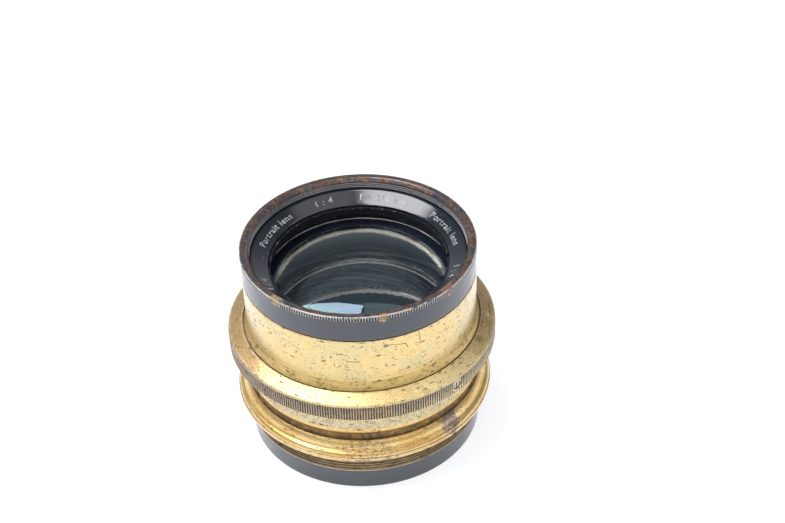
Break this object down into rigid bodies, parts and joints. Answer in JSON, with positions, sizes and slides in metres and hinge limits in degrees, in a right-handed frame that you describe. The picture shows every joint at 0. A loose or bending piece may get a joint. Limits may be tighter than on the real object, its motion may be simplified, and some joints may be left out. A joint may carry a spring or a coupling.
{
  "type": "brass barrel lens",
  "caption": "Brass barrel portrait lens with black screw-in front and rear cells, knurled aperture ring, leaf iris, moulded shoulder and mounting thread.",
  "frame": {"origin": "centre of the rear cell's end face, on which the lens stands", "axes": "+Z along the optical axis from the rear cell to the front rim; the aperture ring's drive screw lies between +X and -Y when the iris is open"},
  "size_m": [0.0884, 0.0884, 0.0713],
  "materials": {
    "lacquered_brass": "lacquered brass, speckled with tarnish",
    "worn_brass": "knurled brass, lacquer worn, brown in the knurl",
    "black_lacquer": "semi-gloss black lacquer on brass, worn to brown at the edges",
    "blackened_brass": "matt black inner metalwork",
    "blade_steel": "blued spring steel sheet",
    "screw_steel": "aged steel",
    "optical_glass": "polished uncoated optical glass"
  },
  "bodies": {
    "barrel": {"mount_barrel": "lacquered_brass", "upper_barrel": "lacquered_brass", "front_cell_mount": "black_lacquer", "name_ring": "black_lacquer", "rear_cell_mount": "black_lacquer", "front_retaining_ring": "blackened_brass", "front_inner_retaining_ring": "blackened_brass", "rear_retaining_ring": "blackened_brass", "rear_inner_retaining_ring": "blackened_brass", "iris_pivot_ring": "blackened_brass", "iris_retaining_ring": "blackened_brass", "front_crown_element": "optical_glass", "front_flint_element": "optical_glass", "front_meniscus_element": "optical_glass", "rear_crown_element": "optical_glass", "rear_flint_element": "optical_glass", "rear_meniscus_element": "optical_glass"},
    "aperture_ring": {"aperture_ring": "worn_brass", "aperture_drive_screw": "screw_steel", "iris_rotor_ring": "blackened_brass"},
    "iris_blade_01": {"iris_blade_01": "blade_steel"},
    "iris_blade_02": {"iris_blade_02": "blade_steel"},
    "iris_blade_03": {"iris_blade_03": "blade_steel"},
    "iris_blade_04": {"iris_blade_04": "blade_steel"},
    "iris_blade_05": {"iris_blade_05": "blade_steel"},
    "iris_blade_06": {"iris_blade_06": "blade_steel"},
    "iris_blade_07": {"iris_blade_07": "blade_steel"},
    "iris_blade_08": {"iris_blade_08": "blade_steel"},
    "iris_blade_09": {"iris_blade_09": "blade_steel"},
    "iris_blade_10": {"iris_blade_10": "blade_steel"},
    "iris_blade_11": {"iris_blade_11": "blade_steel"},
    "iris_blade_12": {"iris_blade_12": "blade_steel"}
  },
  "joints": [
    {"name": "aperture_turn", "type": "hinge", "parent": "barrel", "child": "aperture_ring", "pos_m": [0, 0, 0.0376], "axis": [0, 0, 1], "range_deg": [0, 76]},
    {"name": "iris_blade_01_swing", "type": "hinge", "parent": "barrel", "child": "iris_blade_01", "pos_m": [0.0326, 0, 0.03], "axis": [0, 0, 1], "range_deg": [0, 38]},
    {"name": "iris_blade_02_swing", "type": "hinge", "parent": "barrel", "child": "iris_blade_02", "pos_m": [0.02823, 0.0163, 0.03], "axis": [0, 0, 1], "range_deg": [0, 38]},
    {"name": "iris_blade_03_swing", "type": "hinge", "parent": "barrel", "child": "iris_blade_03", "pos_m": [0.0163, 0.02823, 0.03], "axis": [0, 0, 1], "range_deg": [0, 38]},
    {"name": "iris_blade_04_swing", "type": "hinge", "parent": "barrel", "child": "iris_blade_04", "pos_m": [0, 0.0326, 0.03], "axis": [0, 0, 1], "range_deg": [0, 38]},
    {"name": "iris_blade_05_swing", "type": "hinge", "parent": "barrel", "child": "iris_blade_05", "pos_m": [-0.0163, 0.02823, 0.03], "axis": [0, 0, 1], "range_deg": [0, 38]},
    {"name": "iris_blade_06_swing", "type": "hinge", "parent": "barrel", "child": "iris_blade_06", "pos_m": [-0.02823, 0.0163, 0.03], "axis": [0, 0, 1], "range_deg": [0, 38]},
    {"name": "iris_blade_07_swing", "type": "hinge", "parent": "barrel", "child": "iris_blade_07", "pos_m": [-0.0326, 0, 0.03], "axis": [0, 0, 1], "range_deg": [0, 38]},
    {"name": "iris_blade_08_swing", "type": "hinge", "parent": "barrel", "child": "iris_blade_08", "pos_m": [-0.02823, -0.0163, 0.03], "axis": [0, 0, 1], "range_deg": [0, 38]},
    {"name": "iris_blade_09_swing", "type": "hinge", "parent": "barrel", "child": "iris_blade_09", "pos_m": [-0.0163, -0.02823, 0.03], "axis": [0, 0, 1], "range_deg": [0, 38]},
    {"name": "iris_blade_10_swing", "type": "hinge", "parent": "barrel", "child": "iris_blade_10", "pos_m": [0, -0.0326, 0.03], "axis": [0, 0, 1], "range_deg": [0, 38]},
    {"name": "iris_blade_11_swing", "type": "hinge", "parent": "barrel", "child": "iris_blade_11", "pos_m": [0.0163, -0.02823, 0.03], "axis": [0, 0, 1], "range_deg": [0, 38]},
    {"name": "iris_blade_12_swing", "type": "hinge", "parent": "barrel", "child": "iris_blade_12", "pos_m": [0.02823, -0.0163, 0.03], "axis": [0, 0, 1], "range_deg": [0, 38]}
  ],
  "couplings": [
    {"joint": "iris_blade_01_swing", "follows": "aperture_turn", "ratio": 0.5},
    {"joint": "iris_blade_02_swing", "follows": "aperture_turn", "ratio": 0.5},
    {"joint": "iris_blade_03_swing", "follows": "aperture_turn", "ratio": 0.5},
    {"joint": "iris_blade_04_swing", "follows": "aperture_turn", "ratio": 0.5},
    {"joint": "iris_blade_05_swing", "follows": "aperture_turn", "ratio": 0.5},
    {"joint": "iris_blade_06_swing", "follows": "aperture_turn", "ratio": 0.5},
    {"joint": "iris_blade_07_swing", "follows": "aperture_turn", "ratio": 0.5},
    {"joint": "iris_blade_08_swing", "follows": "aperture_turn", "ratio": 0.5},
    {"joint": "iris_blade_09_swing", "follows": "aperture_turn", "ratio": 0.5},
    {"joint": "iris_blade_10_swing", "follows": "aperture_turn", "ratio": 0.5},
    {"joint": "iris_blade_11_swing", "follows": "aperture_turn", "ratio": 0.5},
    {"joint": "iris_blade_12_swing", "follows": "aperture_turn", "ratio": 0.5}
  ]
}
